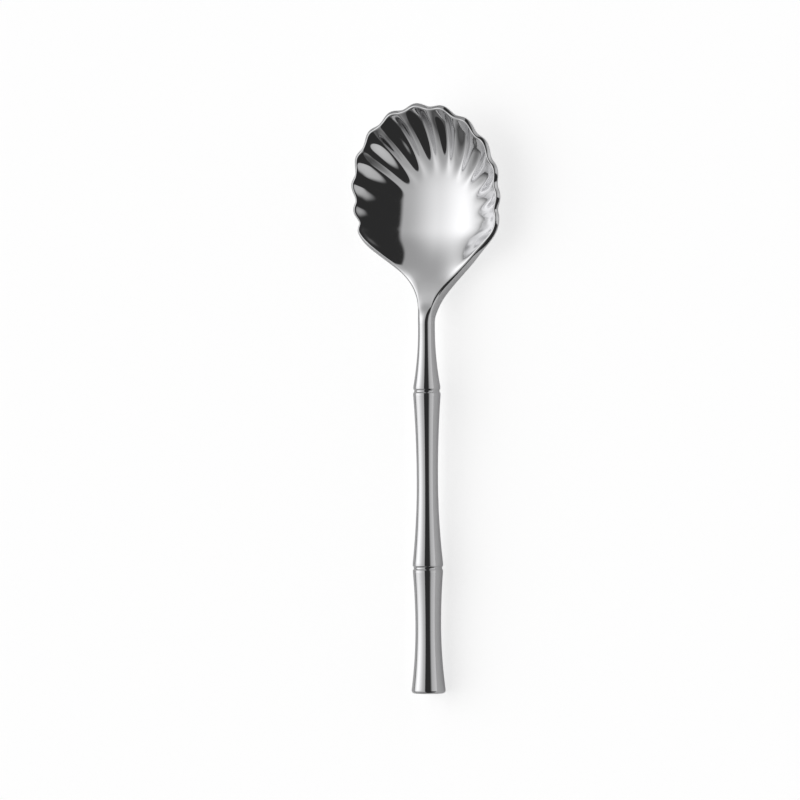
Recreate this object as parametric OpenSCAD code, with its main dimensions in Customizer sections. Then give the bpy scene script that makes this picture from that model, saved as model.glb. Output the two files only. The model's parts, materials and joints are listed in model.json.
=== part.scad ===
// Stirring spoon with a fluted shell bowl and a solid cane-shaped handle.
// Model frame while building: Y along the handle axis, weld plane at Y = 0, bowl
// toward +Y, handle toward -Y, bowl opening toward +Z. The finished spoon is then
// tilted and lifted so that it lies on a table on its bowl and its handle end.

/* [Overall] */
// Overall length from handle end to bowl tip, in mm
spoon_length = 128; // [105:1:160]
// Widest part of the bowl across the lobes, in mm
bowl_width = 37; // [30:0.5:46]

/* [Bowl shell] */
// Sheet thickness of the pressed bowl, in mm
sheet = 1.16; // [0.8:0.02:1.6]
// Inside depth of the basin below the handle axis, in mm
bowl_depth = 5.6; // [4:0.05:9]
// Height of the rim above the handle axis at the tip, in mm
tip_rise = 2.15; // [0:0.05:4]
// Fall of the rim from the tip toward the heel, mm per mm
rim_fall = 0.095; // [0:0.005:0.15]
// Distance from the shell circle centre to the point the flutes fan out from, in mm
fan_offset = 7.2; // [4:0.1:10]
// How slowly the shell sides draw in below the widest part, in mm
side_reach = 28; // [22:0.5:40]
// Power of the cross section, higher is flatter in the middle and steeper at the wall
wall_power = 2.4; // [2:0.05:4]
// Distance from the fan point forward to where the floor has levelled out, in mm
basin_ahead = 6.2; // [3:0.1:9]
// Distance from the fan point forward to where the floor begins to rise toward the tip, in mm
tip_ahead = 4.2; // [2:0.1:8]
// Power of the rise toward the tip
tip_power = 2.6; // [2:0.1:4]

/* [Flutes] */
// Flutes on the left half of the shell, the corner lobe included
flutes_left = 7; // [5:1:9]
// Flutes on the right half of the shell, the corner lobe included
flutes_right = 6; // [5:1:9]
// Turn of the whole fan away from the middle line, in degrees, minus is to the right
flute_shift = -4.5; // [-7:0.5:7]
// Fan angle of the flutes next to the middle, in degrees
flute_pitch = 15.2; // [11:0.1:18]
// Growth of the fan angle per flute toward the sides, in degrees
flute_spread = 0.06; // [0.02:0.02:0.8]
// Height from flute bottom to ridge top where the flutes are deepest, in mm
flute_depth = 1.8; // [0.4:0.1:2.6]
// Height from flute bottom to ridge top at the rim, in mm
flute_rim_depth = 1.6; // [0.2:0.05:2]
// Share of the way from the fan point to the rim at which the flutes begin
flute_start = 0.34; // [0.2:0.02:0.5]
// How much later the flutes at the two sides begin, as a share of that way
flute_side_delay = 0.36; // [0:0.02:0.5]
// Share of that way at which the flutes are at full depth
flute_full = 0.95; // [0.8:0.01:1]
// Share of that way at which they begin to get shallower toward the rim
rim_fade_start = 0.8; // [0.6:0.02:0.95]
// How much shallower the flutes are at the two sides of the shell, as a share
flute_side_fade = 0.76; // [0:0.02:0.9]
// Fan angle from the middle at which the side flutes begin to get shallower, in degrees
side_fade_start = 35; // [20:1:60]
// Fan angle from the middle at which they are at their shallowest, in degrees
side_fade_end = 90; // [80:1:110]
// How far the fade of the corner lobes runs past the last flute, in flutes
corner_overrun = 0.2; // [0:0.05:0.5]
// Inward depth of the notches between the lobes of the rim, in mm
lobe_notch = 0.74; // [0.2:0.02:1.2]
// Shape of the rim and heel edges, 1 is a half circle and less is squarer
edge_square = 0.7; // [0.3:0.05:1]

/* [Heel and neck] */
// Distance from the weld plane to the point the flutes fan out from, in mm
heel_length = 22.8; // [18:0.1:30]
// Distance from that point to the straight heel edges, in mm
heel_reach = 13.4; // [10:0.1:17]
// Angle of the heel edge normal below the cross axis, in degrees
heel_angle = 51; // [40:1:60]
// Distance from that point back to the mouth, where neck and hollow meet, in mm
hollow_reach = 13.8; // [10:0.1:16]
// Distance from that point back to where the rim begins to fall to the heel, in mm
corner_back = 4.1; // [2:0.1:6]
// Distance from that point back to where the sheet begins to thicken, in mm
thicken_back = 1.3; // [0:0.1:3]
// Distance from the mouth back to where the heel is at full thickness, in mm
thick_back = 2.5; // [1:0.1:4]
// Softness of the corner between shell side and heel edge, in mm
corner_blend = 2.4; // [0.5:0.1:4]
// Softness of the curve from heel edge into neck, in mm
neck_blend = 7; // [3:0.1:10]
// Thickness of the heel where it narrows, in mm
heel_thick = 3.04; // [2:0.02:4]
// Distance from the weld plane to where the neck has bent down into the heel, in mm
bend_end = 3.6; // [2:0.1:6]
// Distance from the weld plane to where the heel begins to level out, in mm
level_start = 10; // [7:0.1:16]
// Diameter of the neck at the weld, in mm
neck_dia = 3.66; // [3:0.02:5]
// Length over which the round neck flattens into the heel, in mm
neck_flatten = 5; // [2:0.1:5.5]

/* [Weld joint] */
// Diameter of the flat root faces that meet in the weld plane, in mm
root_dia = 2.4; // [2:0.05:3]
// Diameter of the locating bore in the neck, in mm
bore_dia = 1.6; // [1:0.05:2]
// Depth of the locating bore, in mm
bore_depth = 2.5; // [1.5:0.1:3.5]
// Radial clearance of the spigot in its bore, in mm
spigot_clear = 0.03; // [0.01:0.01:0.1]
// Free space between spigot end and bore end, in mm
spigot_end_gap = 0.3; // [0.1:0.05:1]

/* [Handle] */
// Length of the internode between weld and first node, in mm
first_internode = 13.9; // [10:0.1:20]
// Length of the internode between second node and handle end, in mm
last_internode = 27.2; // [20:0.1:36]
// Diameter of the shoulder above the first node, in mm
node1_top_dia = 5.86; // [4.5:0.02:8]
// Diameter of the shoulder below the first node, in mm
node1_low_dia = 5.95; // [4.5:0.01:8]
// Diameter of the shoulder above the second node, in mm
node2_top_dia = 6.6; // [5:0.02:9]
// Diameter of the shoulder below the second node, in mm
node2_low_dia = 6.53; // [5:0.01:9]
// Diameter of the waist of the middle internode, in mm
mid_waist_dia = 4.62; // [3.6:0.02:6]
// Diameter of the waist of the last internode, in mm
last_waist_dia = 5.58; // [4:0.02:7]
// Distance from the handle end to the waist of the last internode, in mm
last_waist_from_end = 14.6; // [10:0.1:18]
// Length of the straight shoulder on each side of a node groove, in mm
shoulder = 1; // [0.6:0.1:2]
// Width of the node grooves, in mm
groove_width = 0.92; // [0.5:0.02:1.4]
// Depth of the node grooves, in mm
groove_depth = 0.24; // [0.1:0.02:0.5]
// Diameter of the handle end, in mm
end_dia = 7.4; // [6:0.05:9]
// Edge radius of the handle end, in mm
end_round = 0.7; // [0.3:0.05:1.2]

/* [Hidden] */
$fn = 96;
half_sheet = sheet / 2;
half_heel = heel_thick / 2;
neck_r = neck_dia / 2;
root_r = root_dia / 2;
bore_r = bore_dia / 2;
bevel = neck_r - root_r;
shell_r = bowl_width / 2;
fan_y = heel_length;
shell_y = fan_y + fan_offset;
bowl_length = shell_y + shell_r;
handle_length = spoon_length - bowl_length;
floor_z = -bowl_depth - half_sheet;
// Stations along the spoon, counted from the weld plane
mouth_y = fan_y - hollow_reach;
corner_y = fan_y - corner_back;
thin_y = fan_y - thicken_back;
thick_y = mouth_y - thick_back;
basin_y = fan_y + basin_ahead;
tip_start_y = fan_y + tip_ahead;
// Steps of the surface: rays per flute, rays per heel edge and mouth, rings, rim, neck
flute_rays = 12;
edge_rays = 9;
mouth_rays = 14;
rings = 13;
rim_steps = 5;
neck_rings = 11;
// Half angle of the upper and of the lower face where the neck is round
bevel_spread = 60;
// Halvings in the search for the outline, and rounds in the search for the rest tilt
halvings = 34;
settle_rounds = 5;
// Short distance over which slopes are measured
probe = 0.02;
// Power with which the lobe notches fade inward from the rim
notch_power = 4;
// Furthest share of the half width at which the cross section is still evaluated
section_limit = 1.05;
// Straight steps along half a waist of the handle
waist_steps = 16;

function clamp01(v) = min(1, max(0, v));
function ease(a, b, v) = let (t = clamp01((v - a) / (b - a))) t * t * (3 - 2 * t);
function mix(a, b, t) = a + (b - a) * t;
function unit(v) = v / norm(v);

// Smooth minimum and maximum of two lengths
function soft_min(a, b, k) = let (h = clamp01(0.5 + 0.5 * (b - a) / k)) mix(b, a, h) - k * h * (1 - h);
function soft_max(a, b, k) = let (h = clamp01(0.5 + 0.5 * (a - b) / k)) mix(b, a, h) + k * h * (1 - h);

// Half thickness of the blank: sheet in the shell, thicker heel, round at the neck
function half_thick(y) =
    half_sheet
    + (half_heel - half_sheet) * (1 - ease(thick_y, thin_y, y))
    + (neck_r - half_heel) * (1 - ease(bevel, neck_flatten, y));

// Half width of the middle surface at y, the outline drawn in by the half thickness
function shell_half(y, h) =
    let (d = y - shell_y, r = shell_r - h)
    d > 0 ? sqrt(max(r * r - d * d, 0)) : r * (1 - pow(d / side_reach, 2) / 2);
function heel_half(y, h) =
    let (line = (heel_reach - h + (y - fan_y) * sin(heel_angle)) / cos(heel_angle))
    soft_max(line, neck_r - h, neck_blend);
function half_width(y) =
    let (h = half_thick(y))
    soft_min(heel_half(y, h), shell_half(y, h), corner_blend);

// Middle line: it bends down at the neck, falls along the heel and levels out in the basin.
// The ramp is level before a, curves up between a and b, and has a slope of 1 after b.
function ramp(a, b, v) =
    let (t = clamp01((v - a) / (b - a)))
    (b - a) * (pow(t, 3) - pow(t, 4) / 2) + max(0, v - b);
keel_slope = floor_z / ((level_start + basin_y) / 2 - (bevel + bend_end) / 2);
function keel_z(y) = keel_slope * (ramp(bevel, bend_end, y) - ramp(level_start, basin_y, y));

// Rim line, and the floor of the hollow along the middle with its rise toward the tip
function rim_z(y) =
    let (shell = tip_rise - (bowl_length - y) * rim_fall)
    mix(keel_z(y), shell, ease(mouth_y, corner_y, y));
function floor_line_z(y) =
    let (u = max(0, (y - tip_start_y) / (bowl_length - half_sheet - tip_start_y)))
    keel_z(y) + (rim_z(y) - floor_z) * pow(u, tip_power);
function section_power(y) =
    2 + (wall_power - 2) * (1 - pow(clamp01((y - shell_y) / shell_r), 2));

// Flutes: a fan about the point at fan_y, ridges at whole numbers of the flute count
function flute_count(a) =
    let (d = a - 90 - flute_shift, root = sqrt(flute_pitch * flute_pitch + 4 * flute_spread * abs(d)))
    sign(d) * (root - flute_pitch) / (2 * flute_spread);
function flute_angle(n) = 90 + flute_shift + n * (flute_pitch + flute_spread * abs(n));
function turn(x, y) = let (a = atan2(y, x)) a < -90 ? a + 360 : a;
function fan_radius(a) =
    fan_offset * sin(a) + sqrt(shell_r * shell_r - pow(fan_offset * cos(a), 2));
function flute_z(x, y) =
    let (
        a = turn(x, y - fan_y),
        n = flute_count(a),
        q = norm([x, y - fan_y]) / fan_radius(a),
        aside = ease(side_fade_start, side_fade_end, abs(a - 90)),
        side = 1 - flute_side_fade * aside,
        ends = (1 - ease(flutes_left - 1, flutes_left + corner_overrun, n))
            * ease(-flutes_right - corner_overrun, -flutes_right + 1, n),
        inner = flute_depth * ease(flute_start + flute_side_delay * aside, flute_full, q),
        rim = (flute_rim_depth - flute_depth) * ease(rim_fade_start, 1, q)
    )
    (inner + rim) / 2 * side * ends * cos(360 * n);
function surface_z(x, y) =
    let (q = min(section_limit, abs(x) / max(half_width(y), probe)))
    mix(floor_line_z(y), rim_z(y), pow(q, section_power(y))) + flute_z(x, y);
function surface_point(x, y) = [x, y, surface_z(x, y)];
function surface_normal(x, y) =
    unit([
        surface_z(x - probe, y) - surface_z(x + probe, y),
        surface_z(x, y - probe) - surface_z(x, y + probe),
        2 * probe
    ]);

// Rays about the fan point: flutes from right to left, left heel edge, mouth, right heel edge
mouth_half = half_width(mouth_y);
mouth_turn = atan(mouth_half / (fan_y - mouth_y));
fan_right = flute_angle(-flutes_right);
fan_left = flute_angle(flutes_left);
fan_steps = (flutes_left + flutes_right) * flute_rays;
ray_angles = concat(
    [for (i = [0 : fan_steps]) flute_angle(i / flute_rays - flutes_right)],
    [for (i = [1 : edge_rays]) mix(fan_left, 270 - mouth_turn, i / edge_rays)],
    [for (i = [1 : mouth_rays]) mix(270 - mouth_turn, 270 + mouth_turn, i / mouth_rays)],
    [for (i = [1 : edge_rays - 1]) mix(270 + mouth_turn, 360 + fan_right, i / edge_rays)]
);
ray_total = len(ray_angles);
mouth_first = fan_steps + edge_rays;
mouth_last = mouth_first + mouth_rays;

// Distance from the fan point to the outline along a ray, found by halving
function inside(x, y) = y >= mouth_y && y < bowl_length - half_sheet && abs(x) <= half_width(y);
function reach(a, low, high, n) =
    let (m = (low + high) / 2)
    n == 0 ? m
    : inside(m * cos(a), fan_y + m * sin(a)) ? reach(a, m, high, n - 1)
    : reach(a, low, m, n - 1);
function ray_reach(i) =
    i >= mouth_first && i <= mouth_last
    ? (mouth_y - fan_y) / sin(ray_angles[i])
    : reach(ray_angles[i], 0, 2 * bowl_width, halvings);
function notch(a) =
    let (n = flute_count(a > 270 ? a - 360 : a))
    n > flutes_left - 0.5 || n < -flutes_right + 0.5 ? 0 : lobe_notch * (1 + cos(360 * n)) / 2;
reaches = [for (i = [0 : ray_total - 1]) ray_reach(i)];
function grid_xy(i, j) =
    let (
        a = ray_angles[i],
        t = j / rings,
        r = t * reaches[i] - notch(a) * pow(t, notch_power)
    )
    [r * cos(a), fan_y + r * sin(a)];
grid = [for (i = [0 : ray_total - 1]) [for (j = [1 : rings]) grid_xy(i, j)]];
middle = [for (ray = grid) [for (p = ray) surface_point(p[0], p[1])]];
normals = [for (ray = grid) [for (p = ray) surface_normal(p[0], p[1])]];

// Rounded edge: shares of the surface normal and of the outward direction at angle a
function edge_up(a, square) = sign(cos(a)) * pow(abs(cos(a)), square);
function edge_aside(a, square) = pow(abs(sin(a)), square);
function edge_point(i) = middle[(i + ray_total) % ray_total][rings - 1];
function edge_along(i) =
    i == mouth_first ? edge_point(i) - edge_point(i - 1)
    : i == mouth_last ? edge_point(i + 1) - edge_point(i)
    : edge_point(i + 1) - edge_point(i - 1);
function edge_out(i) = unit(cross(edge_along(i), normals[i][rings - 1]));
function rim_point(i, e) =
    let (p = edge_point(i), a = 180 * e / rim_steps)
    p + half_thick(p[1])
        * (edge_up(a, edge_square) * normals[i][rings - 1] + edge_aside(a, edge_square) * edge_out(i));

// Neck: rings from the mouth to the weld, flat at the mouth and round at the weld
function neck_y(s) = mix(mouth_y, bevel, s / neck_rings);
function neck_slope(y) = (rim_z(y + probe) - rim_z(y - probe)) / (2 * probe);
function neck_flare(y) = (half_width(y + probe) - half_width(y - probe)) / (2 * probe);
function neck_point(y, u, side, a) =
    let (
        n = unit([0, -neck_slope(y), 1]),
        out = unit(cross([side * neck_flare(y), 1, neck_slope(y)], n)) * side,
        square = mix(1, edge_square, ease(bevel, neck_flatten, y))
    )
    [u * max(half_width(y), 0), y, rim_z(y)]
        + half_thick(y) * (edge_up(a, square) * n + edge_aside(a, square) * out);
function neck_ring(y) =
    let (open = bevel_spread * (1 - ease(bevel, mouth_y, y)))
    concat(
        [for (k = [0 : mouth_rays])
            let (u = 2 * k / mouth_rays - 1)
            neck_point(y, u, sign(u), open * abs(u))],
        [for (e = [1 : rim_steps - 1]) neck_point(y, 1, 1, mix(open, 180 - open, e / rim_steps))],
        [for (k = [0 : mouth_rays])
            let (u = 1 - 2 * k / mouth_rays)
            neck_point(y, u, sign(u), 180 - open * abs(u))],
        [for (e = [1 : rim_steps - 1]) neck_point(y, -1, -1, mix(180 - open, open, e / rim_steps))]
    );
// Round rings about the axis with the same count, for bevel, root face and bore
function round_ring(r, y) =
    concat(
        [for (k = [0 : mouth_rays])
            let (a = bevel_spread * (2 * k / mouth_rays - 1))
            [r * sin(a), y, r * cos(a)]],
        [for (e = [1 : rim_steps - 1])
            let (a = mix(bevel_spread, 180 - bevel_spread, e / rim_steps))
            [r * sin(a), y, r * cos(a)]],
        [for (k = [0 : mouth_rays])
            let (a = 180 - bevel_spread * (1 - 2 * k / mouth_rays))
            [r * sin(a), y, r * cos(a)]],
        [for (e = [1 : rim_steps - 1])
            let (a = 180 + mix(bevel_spread, 180 - bevel_spread, e / rim_steps))
            [r * sin(a), y, r * cos(a)]]
    );

// Points in blocks: two poles, upper grid, lower grid, rim, neck rings, bore end
pole_n = surface_normal(0, fan_y);
pole = surface_point(0, fan_y);
ring_size = 2 * (mouth_rays + 1) + 2 * (rim_steps - 1);
neck_tail = [
    round_ring(root_r, 0),
    round_ring(bore_r, 0),
    round_ring(bore_r, bore_depth)
];
neck_list = concat([for (s = [1 : neck_rings]) neck_ring(neck_y(s))], neck_tail);
ring_total = len(neck_list);
function offset_grid(face) = [
    for (i = [0 : ray_total - 1])
        for (j = [0 : rings - 1])
            middle[i][j] + face * half_thick(middle[i][j][1]) * normals[i][j]
];
bowl_points = concat(
    [pole + half_sheet * pole_n, pole - half_sheet * pole_n],
    offset_grid(1),
    offset_grid(-1),
    [for (i = [0 : ray_total - 1]) for (e = [1 : rim_steps - 1]) rim_point(i, e)],
    [for (ring = neck_list) for (p = ring) p],
    [[0, bore_depth, 0]]
);
top_start = 2;
low_start = top_start + ray_total * rings;
rim_start = low_start + ray_total * rings;
neck_start = rim_start + ray_total * (rim_steps - 1);
bore_end = neck_start + ring_total * ring_size;
function top_at(i, j) = top_start + (i % ray_total) * rings + j - 1;
function low_at(i, j) = low_start + (i % ray_total) * rings + j - 1;
function rim_at(i, e) = rim_start + (i % ray_total) * (rim_steps - 1) + e - 1;
function upper_run(i) = [for (j = [1 : rings]) top_at(i, j)];
function lower_run(i) = [for (j = [rings : -1 : 1]) low_at(i, j)];
function rim_run(i) = [for (e = [1 : rim_steps - 1]) rim_at(i, e)];
function strip(p, q) = [
    for (k = [0 : len(p) - 2])
        for (f = [[p[k], q[k], q[k + 1]], [p[k], q[k + 1], p[k + 1]]])
            f
];
// The same strip with its triangles cut along the other diagonal
function strip_back(p, q) = [
    for (k = [0 : len(p) - 2])
        for (f = [[p[k], q[k], p[k + 1]], [q[k], q[k + 1], p[k + 1]]])
            f
];
function on_left(i) = ray_angles[i] >= 90 && ray_angles[i] < 270;
function over_mouth(i) = i >= mouth_first && i < mouth_last;
mouth_ring = concat(
    [for (i = [mouth_first : mouth_last]) top_at(i, rings)],
    rim_run(mouth_last),
    [for (i = [mouth_last : -1 : mouth_first]) low_at(i, rings)],
    [for (e = [rim_steps - 1 : -1 : 1]) rim_at(mouth_first, e)]
);
function ring_at(s) =
    s == 0 ? mouth_ring
    : [for (k = [0 : ring_size - 1]) neck_start + (s - 1) * ring_size + k];
function closed(ring) = concat(ring, [ring[0]]);
bowl_faces = concat(
    [for (i = [0 : ray_total - 1]) [0, top_at(i + 1, 1), top_at(i, 1)]],
    [for (i = [0 : ray_total - 1]) [1, low_at(i, 1), low_at(i + 1, 1)]],
    [for (i = [0 : ray_total - 1])
        each on_left(i) ? strip_back(upper_run(i), upper_run(i + 1))
            : strip(upper_run(i), upper_run(i + 1))],
    [for (i = [0 : ray_total - 1])
        each on_left(i) ? strip(lower_run(i), lower_run(i + 1))
            : strip_back(lower_run(i), lower_run(i + 1))],
    [for (i = [0 : ray_total - 1])
        if (!over_mouth(i))
            each strip(
                concat([top_at(i, rings)], rim_run(i), [low_at(i, rings)]),
                concat([top_at(i + 1, rings)], rim_run(i + 1), [low_at(i + 1, rings)])
            )],
    [for (s = [0 : ring_total - 1]) each strip(closed(ring_at(s + 1)), closed(ring_at(s)))],
    [for (k = [0 : ring_size - 1])
        let (ring = closed(ring_at(ring_total)))
        [bore_end, ring[k], ring[k + 1]]]
);

// Rest position: bowl underside and handle end both touch the table
function low_point(a) = min([for (p = bowl_points) p[2] * cos(a) + p[1] * sin(a)]);
function end_low(a) =
    -(handle_length - end_round) * sin(a) - (end_dia / 2 - end_round) * cos(a) - end_round;
function settle(a, n) =
    n == 0 ? a
    : settle(a + asin((end_low(a) - low_point(a)) / (handle_length + basin_y)), n - 1);
rest_tilt = settle(0, settle_rounds);
rest_lift = -low_point(rest_tilt);
far_y = max([for (p = bowl_points) p[1] * cos(rest_tilt) - p[2] * sin(rest_tilt)]);
near_y =
    -(handle_length - end_round) * cos(rest_tilt) - (end_dia / 2 - end_round) * sin(rest_tilt) - end_round;
rest_shift = -(far_y + near_y) / 2;

module resting() {
    translate([0, rest_shift, rest_lift])
        rotate([rest_tilt, 0, 0])
            children();
}

// Revolve a profile drawn with X as radius and Y as place along the handle axis
module turned() {
    rotate([-90, 0, 0])
        rotate_extrude()
            children();
}

// Half of a slim waist: a concave arc level at the waist and passing the shoulder
module half_waist(waist_y, waist_r, shoulder_y, shoulder_r) {
    span = shoulder_y - waist_y;
    rise = shoulder_r - waist_r;
    arc = (span * span + rise * rise) / (2 * rise);
    edge = [
        for (k = [0 : waist_steps])
            let (d = span * k / waist_steps)
            [waist_r + arc - sqrt(arc * arc - d * d), waist_y + d]
    ];
    polygon(concat([[0, shoulder_y], [0, waist_y]], edge));
}

module ring_groove(y, r) {
    cut = (groove_width * groove_width / 4 + groove_depth * groove_depth) / (2 * groove_depth);
    translate([r - groove_depth + cut, y])
        circle(r = cut);
}

module shoulder_band(low_y, high_y, r) {
    translate([0, low_y])
        square([r, high_y - low_y]);
}

module handle_profile() {
    node1_y = -first_internode;
    end_y = -handle_length;
    node2_y = end_y + last_internode;
    waist_y = (node1_y + node2_y) / 2;
    last_y = end_y + last_waist_from_end;
    end_r = end_dia / 2;
    difference() {
        union() {
            half_waist(-bevel, neck_r, node1_y + shoulder, node1_top_dia / 2);
            shoulder_band(node1_y, node1_y + shoulder, node1_top_dia / 2);
            shoulder_band(node1_y - shoulder, node1_y, node1_low_dia / 2);
            half_waist(waist_y, mid_waist_dia / 2, node1_y - shoulder, node1_low_dia / 2);
            half_waist(waist_y, mid_waist_dia / 2, node2_y + shoulder, node2_top_dia / 2);
            shoulder_band(node2_y, node2_y + shoulder, node2_top_dia / 2);
            shoulder_band(node2_y - shoulder, node2_y, node2_low_dia / 2);
            half_waist(last_y, last_waist_dia / 2, node2_y - shoulder, node2_low_dia / 2);
            half_waist(last_y, last_waist_dia / 2, end_y + end_round, end_r);
            shoulder_band(end_y, end_y + end_round, end_r - end_round);
            intersection() {
                translate([end_r - end_round, end_y + end_round])
                    circle(r = end_round);
                translate([end_r - end_round, end_y])
                    square([end_round, end_round]);
            }
        }
        ring_groove(node1_y, max(node1_top_dia, node1_low_dia) / 2);
        ring_groove(node2_y, max(node2_top_dia, node2_low_dia) / 2);
    }
}

// Bevelled root of the handle and the spigot that enters the neck
module root_profile() {
    polygon([[0, 0], [root_r, 0], [neck_r, -bevel], [root_r, -2 * bevel], [0, -2 * bevel]]);
}

module spigot_profile() {
    translate([0, -bevel])
        square([bore_r - spigot_clear, bevel + bore_depth - spigot_end_gap]);
}

module bowl() {
    color([0.78, 0.78, 0.79])
        resting()
            polyhedron(points = bowl_points, faces = bowl_faces, convexity = 10);
}

module weld_bead() {
    color([0.7, 0.7, 0.71])
        resting()
            turned()
                polygon([[root_r, 0], [neck_r, bevel], [neck_r, -bevel]]);
}

module handle() {
    color([0.76, 0.76, 0.77])
        resting()
            union() {
                turned() handle_profile();
                turned() root_profile();
                turned() spigot_profile();
            }
}

bowl();
weld_bead();
handle();
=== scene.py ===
"""Looks of a stirring spoon: a fluted shell bowl, its weld and a cane-shaped handle in polished steel."""

import json
import math

import bpy
import numpy as np
from mathutils import Matrix, Vector


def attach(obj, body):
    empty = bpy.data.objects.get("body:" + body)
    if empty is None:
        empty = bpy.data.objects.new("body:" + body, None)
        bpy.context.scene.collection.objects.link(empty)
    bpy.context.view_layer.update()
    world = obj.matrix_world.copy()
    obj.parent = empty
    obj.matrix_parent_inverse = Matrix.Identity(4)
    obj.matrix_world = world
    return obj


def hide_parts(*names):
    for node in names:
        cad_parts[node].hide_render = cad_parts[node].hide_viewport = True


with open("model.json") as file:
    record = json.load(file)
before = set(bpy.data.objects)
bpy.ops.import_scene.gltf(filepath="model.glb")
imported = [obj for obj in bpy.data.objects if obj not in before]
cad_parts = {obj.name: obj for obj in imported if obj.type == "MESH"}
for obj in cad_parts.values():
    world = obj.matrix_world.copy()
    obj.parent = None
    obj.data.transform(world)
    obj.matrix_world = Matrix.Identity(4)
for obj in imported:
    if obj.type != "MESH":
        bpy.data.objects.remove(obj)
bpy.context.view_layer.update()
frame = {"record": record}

# Sizes in mm, in the spoon's own frame: handle axis along Y, weld plane at Y = 0, bowl toward +Y
MM = 0.001
SPOON_LENGTH = 128.0
BOWL_WIDTH = 37.0

# Bowl shell
SHEET = 1.16
BOWL_DEPTH = 5.6
TIP_RISE = 2.15
RIM_FALL = 0.095
FAN_OFFSET = 7.2
SIDE_REACH = 28.0
WALL_POWER = 2.4
KEEL_BEND = 3.6
KEEL_EASE = 10.0
BASIN_AHEAD = 6.2
TIP_AHEAD = 4.2
TIP_POWER = 2.6

# Flutes, which fade out toward the rim more than the CAD's do
FLUTES_LEFT = 7
FLUTES_RIGHT = 6
FLUTE_SHIFT = -4.5
FLUTE_PITCH = 15.2
FLUTE_SPREAD = 0.06
FLUTE_DEPTH = 1.7
FLUTE_RIM_DEPTH = 0.5
FLUTE_START = 0.38
FLUTE_SIDE_DELAY = 0.18
FLUTE_FULL = 0.95
RIM_FADE_START = 0.86
FLUTE_SIDE_FADE = 0.76
SIDE_FADE_START = 25.0
SIDE_FADE_END = 90.0
CORNER_OVERRUN = 0.2
LOBE_NOTCH = 0.74
NOTCH_POWER = 4
NOTCH_END = 0.5
EDGE_SQUARE = 0.5

# Heel and neck
HEEL_LENGTH = 22.8
HEEL_REACH = 13.4
HEEL_ANGLE = math.radians(51)
HOLLOW_REACH = 13.8
CORNER_BACK = 4.1
THICKEN_BACK = 1.3
THICK_BACK = 2.5
CORNER_BLEND = 2.4
NECK_BLEND = 7.0
HEEL_THICK = 3.04
NECK_DIA = 3.66
NECK_FLATTEN = 5.0

# Weld joint
ROOT_DIA = 2.4
BORE_DIA = 1.6
BORE_DEPTH = 2.5
SPIGOT_CLEAR = 0.03
SPIGOT_END_GAP = 0.3

# Handle
FIRST_INTERNODE = 13.9
LAST_INTERNODE = 27.2
NODE1_TOP_DIA = 5.86
NODE1_LOW_DIA = 5.95
NODE2_TOP_DIA = 6.6
NODE2_LOW_DIA = 6.53
MID_WAIST_DIA = 4.62
LAST_WAIST_DIA = 5.58
LAST_WAIST_FROM_END = 14.6
SHOULDER = 1.0
GROOVE_WIDTH = 0.92
GROOVE_DEPTH = 0.24
END_DIA = 7.4
END_ROUND = 0.7
EDGE_SOFT = 0.07

# Worked out from the sizes above
HALF_SHEET = SHEET / 2
HALF_HEEL = HEEL_THICK / 2
NECK_R = NECK_DIA / 2
ROOT_R = ROOT_DIA / 2
BORE_R = BORE_DIA / 2
BEVEL = NECK_R - ROOT_R
SHELL_R = BOWL_WIDTH / 2
FAN_Y = HEEL_LENGTH
SHELL_Y = FAN_Y + FAN_OFFSET
BOWL_LENGTH = SHELL_Y + SHELL_R
HANDLE_LENGTH = SPOON_LENGTH - BOWL_LENGTH
FLOOR_Z = -BOWL_DEPTH - HALF_SHEET
MOUTH_Y = FAN_Y - HOLLOW_REACH
CORNER_Y = FAN_Y - CORNER_BACK
THIN_Y = FAN_Y - THICKEN_BACK
THICK_Y = MOUTH_Y - THICK_BACK
BASIN_Y = FAN_Y + BASIN_AHEAD
TIP_START_Y = FAN_Y + TIP_AHEAD

# Steps of the meshes
FLUTE_RAYS = 24
EDGE_RAYS = 28
MOUTH_RAYS = 32
RINGS = 44
RIM_STEPS = 14
NECK_RINGS = 40
BEVEL_SPREAD = 60.0
LATHE_SEGMENTS = 128
SHARP_ANGLE = math.radians(38)
HALVINGS = 40
PROBE = 0.01
SECTION_LIMIT = 1.05
HANDLE_STEP = 0.4
END_POINTS = 13
# Closer steps about each node of the handle
NODE_SPAN = 1.6
NODE_STEP = 0.04
# Rings in the flat ends of the handle, as shares of their radius
SPIGOT_RING = 0.5
END_RINGS = (0.6, 0.2)
# The finer mesh of the bowl is a hair smaller, so that it stays inside the CAD's box
SKIN_INSET = 0.013
RIM_INSET = 0.06

# The handle's end face in the record gives the place and the tilt of the spoon at rest
handle_end = next(m for m in frame["record"]["mounts"] if m["name"] == "handle_end")
AXIS_Y = -Vector(handle_end["axis"]).normalized()
AXIS_X = Vector((1, 0, 0))
AXIS_Z = AXIS_X.cross(AXIS_Y)
WELD_POINT = Vector(handle_end["pos_m"]) + AXIS_Y * HANDLE_LENGTH * MM
SPOON_TO_ROW = np.array([AXIS_X, AXIS_Y, AXIS_Z])


def to_row(points):
    """Points in mm in the spoon's frame become points in metres in the row's frame."""
    return np.asarray(points, float) @ SPOON_TO_ROW * MM + np.array(WELD_POINT)


# Formulas of the bowl

def ease(a, b, v):
    """0 before a, 1 after b, and a smooth rise between."""
    t = np.clip((v - a) / (b - a), 0, 1)
    return t * t * (3 - 2 * t)


def mix(a, b, t):
    return a + (b - a) * t


def unit(v):
    return v / np.linalg.norm(v, axis=-1, keepdims=True)


def soft_min(a, b, k):
    """The smaller of two values, rounded where they differ by less than k."""
    h = np.clip(0.5 + 0.5 * (b - a) / k, 0, 1)
    return mix(b, a, h) - k * h * (1 - h)


def soft_max(a, b, k):
    return -soft_min(-a, -b, k)


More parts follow.
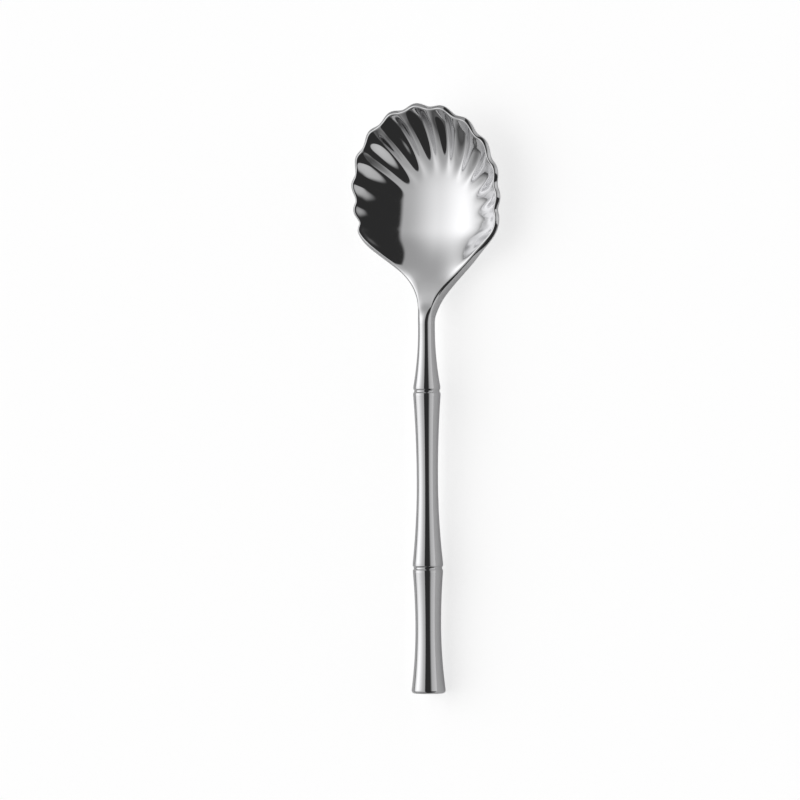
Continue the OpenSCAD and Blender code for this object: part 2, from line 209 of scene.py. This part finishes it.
def half_thick(y):
    """Half the wall: thin in the shell, thicker in the heel and round at the neck."""
    heel = (HALF_HEEL - HALF_SHEET) * (1 - ease(THICK_Y, THIN_Y, y))
    neck = (NECK_R - HALF_HEEL) * (1 - ease(BEVEL, NECK_FLATTEN, y))
    return HALF_SHEET + heel + neck


def shell_half(y, h):
    d = y - SHELL_Y
    r = SHELL_R - h
    tip = np.sqrt(np.maximum(r * r - d * d, 0))
    return np.where(d > 0, tip, r * (1 - (d / SIDE_REACH) ** 2 / 2))


def heel_half(y, h):
    line = (HEEL_REACH - h + (y - FAN_Y) * math.sin(HEEL_ANGLE)) / math.cos(HEEL_ANGLE)
    return soft_max(line, NECK_R - h, NECK_BLEND)


def half_width(y):
    h = half_thick(y)
    return soft_min(heel_half(y, h), shell_half(y, h), CORNER_BLEND)


def ramp_up(a, b, v):
    """Integral of ease from a to b: level before a, a slope of 1 after b."""
    t = np.clip((v - a) / (b - a), 0, 1)
    return (b - a) * (t ** 3 - t ** 4 / 2) + np.maximum(0, v - b)


def keel_z(y):
    """Height of the middle line, which bends down at the neck and levels out in the basin."""
    drop = FLOOR_Z / ((KEEL_EASE + BASIN_Y) / 2 - (BEVEL + KEEL_BEND) / 2)
    return drop * (ramp_up(BEVEL, KEEL_BEND, y) - ramp_up(KEEL_EASE, BASIN_Y, y))


def rim_z(y):
    shell = TIP_RISE - (BOWL_LENGTH - y) * RIM_FALL
    return mix(keel_z(y), shell, ease(MOUTH_Y, CORNER_Y, y))


def floor_line_z(y):
    u = np.maximum(0, (y - TIP_START_Y) / (BOWL_LENGTH - HALF_SHEET - TIP_START_Y))
    return keel_z(y) + (rim_z(y) - FLOOR_Z) * u ** TIP_POWER


def section_power(y):
    return 2 + (WALL_POWER - 2) * (1 - np.clip((y - SHELL_Y) / SHELL_R, 0, 1) ** 2)


def flute_count(a):
    """Flutes from the middle to fan angle a, in degrees: ridges lie at whole numbers."""
    turn = a - 90 - FLUTE_SHIFT
    root = np.sqrt(FLUTE_PITCH ** 2 + 4 * FLUTE_SPREAD * np.abs(turn))
    return np.sign(turn) * (root - FLUTE_PITCH) / (2 * FLUTE_SPREAD)


def flute_angle(n):
    return 90 + FLUTE_SHIFT + n * (FLUTE_PITCH + FLUTE_SPREAD * np.abs(n))


def fan_radius(a):
    a = np.radians(a)
    return FAN_OFFSET * np.sin(a) + np.sqrt(SHELL_R ** 2 - (FAN_OFFSET * np.cos(a)) ** 2)


def flute_z(x, y):
    """Height that the flutes add: they grow from the basin, and fade at the rim and at the sides."""
    a = np.degrees(np.arctan2(y - FAN_Y, x))
    a = np.where(a < -90, a + 360, a)
    n = flute_count(a)
    q = np.hypot(x, y - FAN_Y) / fan_radius(a)
    aside = ease(SIDE_FADE_START, SIDE_FADE_END, np.abs(a - 90))
    side = 1 - FLUTE_SIDE_FADE * aside
    left_end = 1 - ease(FLUTES_LEFT - 1, FLUTES_LEFT + CORNER_OVERRUN, n)
    right_end = ease(-FLUTES_RIGHT - CORNER_OVERRUN, -FLUTES_RIGHT + 1, n)
    inner = FLUTE_DEPTH * ease(FLUTE_START + FLUTE_SIDE_DELAY * aside, FLUTE_FULL, q)
    rim = (FLUTE_RIM_DEPTH - FLUTE_DEPTH) * ease(RIM_FADE_START, 1, q)
    return (inner + rim) / 2 * side * left_end * right_end * np.cos(2 * np.pi * n)


def surface_z(x, y):
    q = np.minimum(SECTION_LIMIT, np.abs(x) / np.maximum(half_width(y), PROBE))
    return mix(floor_line_z(y), rim_z(y), q ** section_power(y)) + flute_z(x, y)


def surface(x, y):
    """Points of the middle surface and its normals."""
    slope_x = (surface_z(x + PROBE, y) - surface_z(x - PROBE, y)) / (2 * PROBE)
    slope_y = (surface_z(x, y + PROBE) - surface_z(x, y - PROBE)) / (2 * PROBE)
    normal = unit(np.stack([-slope_x, -slope_y, np.ones_like(slope_x)], axis=-1))
    return np.stack([x, y, surface_z(x, y)], axis=-1), normal


def fan_rays():
    """Angles and lengths of the rays about the fan point, and the first and last ray at the mouth."""
    flute_steps = (FLUTES_LEFT + FLUTES_RIGHT) * FLUTE_RAYS
    flutes = flute_angle(np.arange(flute_steps + 1) / FLUTE_RAYS - FLUTES_RIGHT)
    turn = math.degrees(math.atan(float(half_width(np.array(MOUTH_Y))) / HOLLOW_REACH))
    edge = np.arange(1, EDGE_RAYS + 1) / EDGE_RAYS
    angles = np.concatenate([
        flutes,
        mix(flutes[-1], 270 - turn, edge),
        mix(270 - turn, 270 + turn, np.arange(1, MOUTH_RAYS + 1) / MOUTH_RAYS),
        mix(270 + turn, 360 + flutes[0], edge[:-1]),
    ])
    first = len(flutes) - 1 + EDGE_RAYS
    last = first + MOUTH_RAYS
    cos, sin = np.cos(np.radians(angles)), np.sin(np.radians(angles))
    low, high = np.zeros_like(angles), np.full_like(angles, 2 * BOWL_WIDTH)
    for _ in range(HALVINGS):
        middle = (low + high) / 2
        y = FAN_Y + middle * sin
        inside = (y >= MOUTH_Y) & (y < BOWL_LENGTH - HALF_SHEET) & (np.abs(middle * cos) <= half_width(y))
        low, high = np.where(inside, middle, low), np.where(inside, high, middle)
    low[first:last + 1] = -HOLLOW_REACH / sin[first:last + 1]
    return angles, low, first, last


def notch(a):
    """How far the rim is drawn in at fan angle a: most at the ridges, between the lobes."""
    n = flute_count(np.where(a > 270, a - 360, a))
    outside = (n > FLUTES_LEFT - NOTCH_END) | (n < -FLUTES_RIGHT + NOTCH_END)
    return np.where(outside, 0, LOBE_NOTCH * (1 + np.cos(2 * np.pi * n)) / 2)


def edge_round(turn, square):
    """Shares of normal and outward directions round an edge: square 1 is a half circle, less is squarer."""
    cos, sin = np.cos(turn), np.sin(turn)
    return np.sign(cos) * np.abs(cos) ** square, np.abs(sin) ** square


def neck_ring(y):
    """One ring of the neck at y: flat above and below, round at both sides."""
    opening = BEVEL_SPREAD * (1 - ease(BEVEL, MOUTH_Y, y))
    across = np.linspace(-1, 1, MOUTH_RAYS + 1)
    around = np.arange(1, RIM_STEPS) / RIM_STEPS
    u = np.concatenate([across, np.ones(RIM_STEPS - 1), -across, -np.ones(RIM_STEPS - 1)])
    turn = np.concatenate([
        opening * np.abs(across),
        mix(opening, 180 - opening, around),
        180 - opening * np.abs(across),
        mix(180 - opening, opening, around),
    ])
    slope = (rim_z(y + PROBE) - rim_z(y - PROBE)) / (2 * PROBE)
    flare = (half_width(y + PROBE) - half_width(y - PROBE)) / (2 * PROBE)
    side = np.sign(u)
    normal = unit(np.array([0, -slope, 1.0]))
    along = np.stack([side * flare, np.ones_like(u), np.full_like(u, slope)], axis=-1)
    out = unit(np.cross(along, normal)) * side[:, None]
    up, aside = edge_round(np.radians(turn)[:, None], mix(1, EDGE_SQUARE, ease(BEVEL, NECK_FLATTEN, y)))
    middle = np.stack([u * max(half_width(y), 0), np.full_like(u, y), np.full_like(u, rim_z(y))], axis=-1)
    return middle + half_thick(y) * (up * normal + aside * out)


def round_ring(r, y):
    """A circle about the axis, with the same points around as a ring of the neck."""
    across = BEVEL_SPREAD * np.linspace(-1, 1, MOUTH_RAYS + 1)
    around = mix(BEVEL_SPREAD, 180 - BEVEL_SPREAD, np.arange(1, RIM_STEPS) / RIM_STEPS)
    a = np.radians(np.concatenate([across, around, 180 + across, 180 + around]))
    return np.stack([r * np.sin(a), np.full_like(a, y), r * np.cos(a)], axis=-1)


def new_piece(name, points, faces, node):
    """A smooth mesh that stands for a CAD node and rides on the only body."""
    mesh = bpy.data.meshes.new(name)
    mesh.from_pydata(to_row(points).tolist(), [], faces)
    mesh.validate()
    mesh.polygons.foreach_set("use_smooth", [True] * len(mesh.polygons))
    mesh.set_sharp_from_angle(angle=SHARP_ANGLE)
    piece = bpy.data.objects.new(name, mesh)
    bpy.context.scene.collection.objects.link(piece)
    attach(piece, "root")
    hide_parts(node)
    return piece


def strip(p, q):
    """Quads between two rows of points."""
    return [(p[k], q[k], q[k + 1], p[k + 1]) for k in range(len(p) - 1)]


def make_bowl():
    """Inner face, underside and rim about the fan point, then the neck with its bevel and bore."""
    angles, reaches, first, last = fan_rays()
    rays = len(angles)
    t = np.arange(1, RINGS + 1) / RINGS
    inset = RIM_INSET * ease(MOUTH_Y, CORNER_Y, FAN_Y + reaches * np.sin(np.radians(angles)))
    r = t * (reaches - inset)[:, None] - notch(angles)[:, None] * t ** NOTCH_POWER
    turn = np.radians(angles)[:, None]
    middle, normal = surface(r * np.cos(turn), FAN_Y + r * np.sin(turn))
    skin = SKIN_INSET * ease(MOUTH_Y, CORNER_Y, middle[..., 1])
    thick = (half_thick(middle[..., 1]) - skin)[..., None]
    edge, edge_normal = middle[:, -1], normal[:, -1]
    along = np.roll(edge, -1, axis=0) - np.roll(edge, 1, axis=0)
    along[first] = edge[first] - edge[first - 1]
    along[last] = edge[last + 1] - edge[last]
    out = unit(np.cross(along, edge_normal))
    up, aside = edge_round(np.pi * np.arange(1, RIM_STEPS)[None, :, None] / RIM_STEPS, EDGE_SQUARE)
    rim = edge[:, None] + thick[:, -1:] * (up * edge_normal[:, None] + aside * out[:, None])
    pole, pole_normal = surface(np.zeros(1), np.full(1, FAN_Y))
    rings = [neck_ring(y) for y in np.linspace(MOUTH_Y, BEVEL, NECK_RINGS + 1)[1:]]
    rings += [round_ring(ROOT_R, 0), round_ring(BORE_R, 0), round_ring(BORE_R, BORE_DEPTH)]
    points = np.concatenate([
        pole + (HALF_SHEET - SKIN_INSET) * pole_normal,
        pole - (HALF_SHEET - SKIN_INSET) * pole_normal,
        (middle + thick * normal).reshape(-1, 3),
        (middle - thick * normal).reshape(-1, 3),
        rim.reshape(-1, 3),
        *rings,
        [[0, BORE_DEPTH, 0]],
    ])
    top = 2 + np.arange(rays * RINGS).reshape(rays, RINGS)
    low = top + rays * RINGS
    side = 2 + 2 * rays * RINGS + np.arange(rays * (RIM_STEPS - 1)).reshape(rays, RIM_STEPS - 1)
    ring_size = len(rings[0])
    neck_start = 2 + 2 * rays * RINGS + side.size
    mouth = [*top[first:last + 1, -1], *side[last], *low[first:last + 1, -1][::-1], *side[first][::-1]]
    starts = [neck_start + k * ring_size for k in range(len(rings))]
    neck = [mouth] + [list(range(start, start + ring_size)) for start in starts]
    faces = []
    for i in range(rays):
        j = (i + 1) % rays
        faces += [(0, top[j, 0], top[i, 0]), (1, low[i, 0], low[j, 0])]
        faces += strip(top[i], top[j])
        faces += strip(low[i][::-1], low[j][::-1])
        if not first <= i < last:
            faces += strip([top[i, -1], *side[i], low[i, -1]], [top[j, -1], *side[j], low[j, -1]])
    for near, far in zip(neck, neck[1:]):
        faces += strip(far + far[:1], near + near[:1])
    end = neck[-1] + neck[-1][:1]
    faces += [(len(points) - 1, end[k], end[k + 1]) for k in range(ring_size)]
    faces = [tuple(int(v) for v in face[::-1]) for face in faces]
    return new_piece("shell_bowl", points, faces, "bowl")


# Handle and weld: profiles turned about the axis

def waist(y, waist_y, waist_r, shoulder_y, shoulder_r):
    """Radius of a concave arc that is level at the waist and passes the shoulder."""
    span = abs(shoulder_y - waist_y)
    rise = shoulder_r - waist_r
    arc = (span * span + rise * rise) / (2 * rise)
    return waist_r + arc - np.sqrt(np.maximum(arc * arc - (y - waist_y) ** 2, 0))


def groove(y, node_y, node_r):
    """Radius of the ring groove at a node, and one larger than the handle's away from it."""
    cut = (GROOVE_WIDTH ** 2 / 4 + GROOVE_DEPTH ** 2) / (2 * GROOVE_DEPTH)
    off = np.abs(y - node_y)
    inside = off < min(cut, GROOVE_WIDTH)
    groove_r = node_r - GROOVE_DEPTH + cut - np.sqrt(np.maximum(cut ** 2 - off ** 2, 0))
    return np.where(inside, groove_r, END_DIA)


def handle_radius(y):
    """Radius of the handle between its weld bevel and the rounding of its end."""
    node1_y = -FIRST_INTERNODE
    end_y = -HANDLE_LENGTH
    node2_y = end_y + LAST_INTERNODE
    mid_y = (node1_y + node2_y) / 2
    last_y = end_y + LAST_WAIST_FROM_END
    r = np.select(
        [
            y > node1_y + SHOULDER,
            y > node1_y,
            y > node1_y - SHOULDER,
            y > mid_y,
            y > node2_y + SHOULDER,
            y > node2_y,
            y > node2_y - SHOULDER,
            y > last_y,
        ],
        [
            waist(y, -BEVEL, NECK_R, node1_y + SHOULDER, NODE1_TOP_DIA / 2),
            np.full_like(y, NODE1_TOP_DIA / 2),
            np.full_like(y, NODE1_LOW_DIA / 2),
            waist(np.maximum(y, mid_y), mid_y, MID_WAIST_DIA / 2, node1_y - SHOULDER, NODE1_LOW_DIA / 2),
            waist(np.maximum(y, node2_y), mid_y, MID_WAIST_DIA / 2, node2_y + SHOULDER, NODE2_TOP_DIA / 2),
            np.full_like(y, NODE2_TOP_DIA / 2),
            np.full_like(y, NODE2_LOW_DIA / 2),
            waist(np.maximum(y, last_y), last_y, LAST_WAIST_DIA / 2, node2_y - SHOULDER, NODE2_LOW_DIA / 2),
        ],
        waist(np.minimum(y, last_y), last_y, LAST_WAIST_DIA / 2, end_y + END_ROUND, END_DIA / 2),
    )
    node1_r = max(NODE1_TOP_DIA, NODE1_LOW_DIA) / 2
    node2_r = max(NODE2_TOP_DIA, NODE2_LOW_DIA) / 2
    for node_y, node_r in ((node1_y, node1_r), (node2_y, node2_r)):
        r = soft_min(r, groove(y, node_y, node_r), EDGE_SOFT)
    return r


def turned(name, profile, closed, node):
    """A profile of (radius, place along the axis) turned about the handle axis."""
    profile = np.asarray(profile, float)
    a = 2 * np.pi * np.arange(LATHE_SEGMENTS) / LATHE_SEGMENTS
    r, y = profile[:, :1], profile[:, 1:]
    along = np.broadcast_to(y, (len(profile), LATHE_SEGMENTS))
    points = np.stack([r * np.sin(a), along, r * np.cos(a)], axis=-1).reshape(-1, 3)
    rows = np.arange(len(points)).reshape(len(profile), LATHE_SEGMENTS)
    rows = np.concatenate([rows, rows[:1]]) if closed else rows
    faces = []
    for near, far in zip(rows, rows[1:]):
        faces += strip([*near, near[0]], [*far, far[0]])
    if not closed:
        faces += [tuple(rows[0]), tuple(rows[-1][::-1])]
    faces = [tuple(int(v) for v in face) for face in faces]
    return new_piece(name, points, faces, node)


def make_handle():
    """The handle from the tip of its spigot to its rounded end."""
    end_y = -HANDLE_LENGTH
    node_ys = (-FIRST_INTERNODE, end_y + LAST_INTERNODE)
    fine = [np.arange(y - NODE_SPAN, y + NODE_SPAN, NODE_STEP) for y in node_ys]
    coarse = np.arange(end_y + END_ROUND, -BEVEL, HANDLE_STEP)
    y = np.unique(np.concatenate([coarse, *fine, [-BEVEL]]))[::-1]
    spigot_r = BORE_R - SPIGOT_CLEAR
    spigot_y = BORE_DEPTH - SPIGOT_END_GAP
    profile = [(spigot_r * SPIGOT_RING, spigot_y), (spigot_r, spigot_y), (spigot_r, 0), (ROOT_R, 0)]
    profile += list(zip(handle_radius(y), y))
    corner_r = END_DIA / 2 - END_ROUND
    turn = np.linspace(0, np.pi / 2, END_POINTS)[1:]
    profile += list(zip(corner_r + END_ROUND * np.cos(turn), end_y + END_ROUND * (1 - np.sin(turn))))
    profile += [(corner_r * share, end_y) for share in END_RINGS]
    return turned("cane_handle", profile, False, "handle")


def make_weld():
    """The ring that fills the V groove between the two bevels."""
    profile = [(ROOT_R, 0), (NECK_R, BEVEL), (NECK_R, -BEVEL)]
    return turned("weld_ring", profile, True, "weld_bead")


# Nodes that the materials and the world share

def add_node(tree, kind, **values):
    node = tree.nodes.new(kind)
    for key, value in values.items():
        setattr(node, key, value)
    return node


def math_node(tree, operation, *inputs):
    """A Math node whose inputs are numbers or sockets."""
    node = add_node(tree, "ShaderNodeMath", operation=operation)
    for socket, value in zip(node.inputs, inputs):
        if isinstance(value, (int, float)):
            socket.default_value = value
        else:
            tree.links.new(value, socket)
    return node.outputs["Value"]


def map_range(tree, source, low, high, to_low, to_high, kind="LINEAR"):
    node = add_node(tree, "ShaderNodeMapRange", interpolation_type=kind)
    for name, value in zip(("From Min", "From Max", "To Min", "To Max"), (low, high, to_low, to_high)):
        node.inputs[name].default_value = value
    tree.links.new(source, node.inputs["Value"])
    return node.outputs["Result"]


# Materials

# Uneven gloss from buffing
SMUDGE_DETAIL = 5
SMUDGE_ROUGHNESS = 0.62
SMUDGE_RANGE = (0.3, 0.7)
# Polishing lines, with their height in metres
LINE_DETAIL = 3
LINE_STRENGTH = 0.3
LINE_HEIGHT = 0.000002
# Scale of the smudges, scale of the lines along X, Y and Z, lowest and highest roughness
BOWL_POLISH = (90, (2500, 2500, 2500), 0.05, 0.09)
HANDLE_POLISH = (120, (6000, 250, 6000), 0.05, 0.10)
WELD_POLISH = (120, (6000, 250, 6000), 0.06, 0.11)


def steel(name, slot, smudge_scale, line_scale, rough_low, rough_high):
    """Mirror-polished steel: uneven gloss from buffing, and hair-fine polishing lines."""
    record_slot = next(m for m in frame["record"]["materials"] if m["slot"] == slot)
    material = bpy.data.materials.new(name)
    material.use_nodes = True
    tree = material.node_tree
    shader = tree.nodes["Principled BSDF"]
    shader.inputs["Base Color"].default_value = (*record_slot["base_color"][:3], 1)
    shader.inputs["Metallic"].default_value = 1
    place = add_node(tree, "ShaderNodeTexCoord")
    smudge = add_node(tree, "ShaderNodeTexNoise")
    smudge.inputs["Scale"].default_value = smudge_scale
    smudge.inputs["Detail"].default_value = SMUDGE_DETAIL
    smudge.inputs["Roughness"].default_value = SMUDGE_ROUGHNESS
    tree.links.new(place.outputs["Object"], smudge.inputs["Vector"])
    gloss = map_range(tree, smudge.outputs["Fac"], *SMUDGE_RANGE, rough_low, rough_high)
    tree.links.new(gloss, shader.inputs["Roughness"])
    stretch = add_node(tree, "ShaderNodeMapping")
    stretch.inputs["Scale"].default_value = line_scale
    tree.links.new(place.outputs["Object"], stretch.inputs["Vector"])
    lines = add_node(tree, "ShaderNodeTexNoise")
    lines.inputs["Scale"].default_value = 1
    lines.inputs["Detail"].default_value = LINE_DETAIL
    tree.links.new(stretch.outputs["Vector"], lines.inputs["Vector"])
    bump = add_node(tree, "ShaderNodeBump")
    bump.inputs["Strength"].default_value = LINE_STRENGTH
    bump.inputs["Distance"].default_value = LINE_HEIGHT
    tree.links.new(lines.outputs["Fac"], bump.inputs["Height"])
    tree.links.new(bump.outputs["Normal"], shader.inputs["Normal"])
    return material


# Stage: floor, studio and camera

# Brightness of the studio. "Turn" is the angle about the spoon's axis, 0 straight up and + to the right,
# and "rise" is the angle from the cross plane toward the bowl's tip, both in degrees.
STUDIO_LEVEL = 1.3
CEILING_BY_RISE = ((-90, 0.10), (-70, 0.04), (-45, 0.30), (0, 0.38), (20, 0.37), (40, 0.29), (90, 0.18))
CEILING_BY_TURN = ((-180, 0.05), (-87, 0.05), (-78, 1), (55, 1), (80, 1.33), (180, 1.33))
# A softbox on the left: where it starts, is brightest and ends
SOFTBOX_LEVEL = 0.68
SOFTBOX_TURN = (-93, -55, 0)
SOFTBOX_RISE = (-40, 12, 46)
# An unlit side of the room: the turns over which it fades in and out, later toward the handle's end
DARK_START = (1, 7)
DARK_END = (41, 57)
DARK_END_RISE = (-25, -10)
DARK_END_SHIFT = 40
# Shares of the white background that the polished steel reflects: at full shares its reflections wash out
WHITE_IN_METAL = 0.03
FLOOR_IN_METAL = 0.2


def ramp(tree, source, stops):
    """Grey by an angle in degrees, straight between the stops."""
    low, high = stops[0][0], stops[-1][0]
    share = map_range(tree, source, low, high, 0, 1)
    node = add_node(tree, "ShaderNodeValToRGB")
    elements = node.color_ramp.elements
    for k, (angle, value) in enumerate(stops):
        place = (angle - low) / (high - low)
        element = elements[0] if k == 0 else elements[-1] if k == len(stops) - 1 else elements.new(place)
        element.position = place
        element.color = (value, value, value, 1)
    tree.links.new(share, node.inputs["Fac"])
    return node.outputs["Color"]


def soft_step(tree, source, low, high, to_low, to_high):
    return map_range(tree, source, low, high, to_low, to_high, "SMOOTHSTEP")


def soft_band(tree, source, start, peak, end):
    """Rises from 0 at the start to 1 at the peak, and falls to 0 at the end."""
    up = soft_step(tree, source, start, peak, 0, 1)
    return math_node(tree, "MULTIPLY", up, soft_step(tree, source, peak, end, 1, 0))


def background_share(tree, path, in_metal):
    """1 where camera or glass sees the background, and the share given where metal reflects it."""
    seen = math_node(tree, "MAXIMUM", path.outputs["Is Camera Ray"], path.outputs["Is Transmission Ray"])
    mirrored = math_node(tree, "MULTIPLY", path.outputs["Is Glossy Ray"], in_metal)
    return math_node(tree, "MAXIMUM", seen, mirrored)


def make_world():
    """The studio that lights the spoon, and plain white where the camera looks past the floor."""
    world = bpy.data.worlds.new("studio")
    bpy.context.scene.world = world
    world.use_nodes = True
    tree = world.node_tree
    place = add_node(tree, "ShaderNodeTexCoord")
    level = add_node(tree, "ShaderNodeVectorRotate", rotation_type="X_AXIS")
    level.inputs["Angle"].default_value = -math.atan2(AXIS_Y.z, AXIS_Y.y)
    tree.links.new(place.outputs["Generated"], level.inputs["Vector"])
    parts = add_node(tree, "ShaderNodeSeparateXYZ")
    tree.links.new(level.outputs["Vector"], parts.inputs["Vector"])
    turn = math_node(tree, "DEGREES", math_node(tree, "ARCTAN2", parts.outputs["X"], parts.outputs["Z"]))
    rise = math_node(tree, "DEGREES", math_node(tree, "ARCSINE", parts.outputs["Y"]))
    ceiling_rise = ramp(tree, rise, CEILING_BY_RISE)
    ceiling = math_node(tree, "MULTIPLY", ceiling_rise, ramp(tree, turn, CEILING_BY_TURN))
    softbox_turn = soft_band(tree, turn, *SOFTBOX_TURN)
    softbox = math_node(tree, "MULTIPLY", softbox_turn, soft_band(tree, rise, *SOFTBOX_RISE))
    light = math_node(tree, "MULTIPLY_ADD", softbox, SOFTBOX_LEVEL, ceiling)
    end_shift = soft_step(tree, rise, *DARK_END_RISE, DARK_END_SHIFT, 0)
    dark_in = soft_step(tree, turn, *DARK_START, 0, 1)
    dark_out = soft_step(tree, math_node(tree, "SUBTRACT", turn, end_shift), *DARK_END, 1, 0)
    dark = math_node(tree, "MULTIPLY", dark_in, dark_out)
    total = math_node(tree, "MULTIPLY", light, math_node(tree, "SUBTRACT", 1, dark))
    studio = tree.nodes["Background"]
    tree.links.new(total, studio.inputs["Color"])
    studio.inputs["Strength"].default_value = STUDIO_LEVEL
    white = add_node(tree, "ShaderNodeBackground")
    white.inputs["Color"].default_value = (1, 1, 1, 1)
    path = add_node(tree, "ShaderNodeLightPath")
    choice = add_node(tree, "ShaderNodeMixShader")
    tree.links.new(background_share(tree, path, WHITE_IN_METAL), choice.inputs["Fac"])
    tree.links.new(studio.outputs["Background"], choice.inputs[1])
    tree.links.new(white.outputs["Background"], choice.inputs[2])
    tree.links.new(choice.outputs["Shader"], tree.nodes["World Output"].inputs["Surface"])


# Floor: its size in metres, its own grey, and the glow that the camera sees added to it
FLOOR_SIZE = 6.0
FLOOR_ALBEDO = 0.8
FLOOR_LIFT = 0.7


def make_floor():
    """A plain floor that the camera sees as white, and that keeps the spoon's shadow."""
    mesh = bpy.data.meshes.new("floor")
    h = FLOOR_SIZE / 2
    mesh.from_pydata([(-h, -h, 0), (h, -h, 0), (h, h, 0), (-h, h, 0)], [], [(0, 1, 2, 3)])
    floor = bpy.data.objects.new("floor", mesh)
    bpy.context.scene.collection.objects.link(floor)
    material = bpy.data.materials.new("pale_floor")
    material.use_nodes = True
    tree = material.node_tree
    tree.nodes.remove(tree.nodes["Principled BSDF"])
    paint = add_node(tree, "ShaderNodeBsdfDiffuse")
    paint.inputs["Color"].default_value = (*[FLOOR_ALBEDO] * 3, 1)
    glow = add_node(tree, "ShaderNodeEmission")
    path = add_node(tree, "ShaderNodeLightPath")
    lift = math_node(tree, "MULTIPLY", background_share(tree, path, FLOOR_IN_METAL), FLOOR_LIFT)
    tree.links.new(lift, glow.inputs["Strength"])
    total = add_node(tree, "ShaderNodeAddShader")
    tree.links.new(paint.outputs["BSDF"], total.inputs[0])
    tree.links.new(glow.outputs["Emission"], total.inputs[1])
    tree.links.new(total.outputs["Shader"], tree.nodes["Material Output"].inputs["Surface"])
    mesh.materials.append(material)


# Camera: the photograph looks along a line turned about the handle axis, from far away
IMAGE_PIXELS = 800
PIXELS_PER_MM = 4.61
HANDLE_END_ROW = 693.5
AXIS_COLUMN = 426.9
VIEW_TURN = math.radians(30)
VIEW_ROLL = 0.0061
VIEW_DISTANCE = 1.2
SENSOR_WIDTH = 36


def make_camera():
    """The camera, placed so that the handle's axis and end lie where the photograph has them."""
    data = bpy.data.cameras.new("camera")
    camera = bpy.data.objects.new("camera", data)
    bpy.context.scene.collection.objects.link(camera)
    bpy.context.scene.camera = camera
    back = math.sin(VIEW_TURN) * AXIS_X + math.cos(VIEW_TURN) * AXIS_Z
    right = math.cos(VIEW_TURN) * AXIS_X - math.sin(VIEW_TURN) * AXIS_Z
    middle = IMAGE_PIXELS / 2
    along = (HANDLE_END_ROW - middle) / PIXELS_PER_MM - HANDLE_LENGTH
    aside = (middle - AXIS_COLUMN) / PIXELS_PER_MM
    aim = WELD_POINT + AXIS_Y * along * MM + right * aside * MM
    up = (AXIS_Y + VIEW_ROLL * right).normalized()
    right = up.cross(back)
    camera.matrix_world = Matrix((
        (right.x, up.x, back.x, 0),
        (right.y, up.y, back.y, 0),
        (right.z, up.z, back.z, 0),
        (0, 0, 0, 1),
    ))
    camera.location = aim + back * VIEW_DISTANCE
    data.sensor_width = SENSOR_WIDTH
    data.lens = SENSOR_WIDTH * VIEW_DISTANCE / (IMAGE_PIXELS / PIXELS_PER_MM * MM)


bowl = make_bowl()
handle = make_handle()
weld = make_weld()
bowl.data.materials.append(steel("bowl_polish", "bowl_steel", *BOWL_POLISH))
handle.data.materials.append(steel("handle_polish", "handle_steel", *HANDLE_POLISH))
# The weld has the handle's colour, because the photograph shows no seam
weld.data.materials.append(steel("weld_polish", "handle_steel", *WELD_POLISH))
make_world()
make_floor()
make_camera()

view_settings = bpy.context.scene.view_settings
view_settings.view_transform = "Standard"
